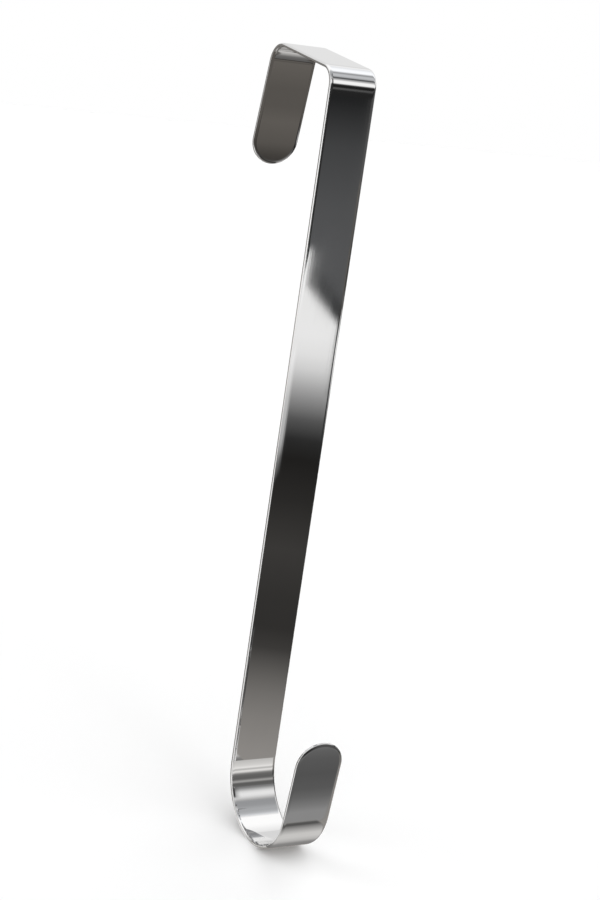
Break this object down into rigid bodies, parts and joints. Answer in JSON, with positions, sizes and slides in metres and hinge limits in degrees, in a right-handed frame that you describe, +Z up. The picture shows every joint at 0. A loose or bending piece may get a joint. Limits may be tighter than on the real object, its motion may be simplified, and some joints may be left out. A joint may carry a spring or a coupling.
{
  "type": "wreath hanger",
  "caption": "Polished steel strip bent into an over-door hook: short round-ended back leg, bridge, long flat shank and a round open hook at the foot for a wreath.",
  "frame": {"origin": "centre of the bridge's underside, where the hanger hangs on the top edge of a door", "axes": "+Z up along the shank, -Y out of the door's face towards the wreath, +X across the strip's width"},
  "size_m": [0.02, 0.1098, 0.3089],
  "materials": {
    "polished_steel": "mirror-polished stainless steel strip, edges rounded over"
  },
  "bodies": {
    "root": {"hanger_strip": "polished_steel"}
  },
  "joints": []
}
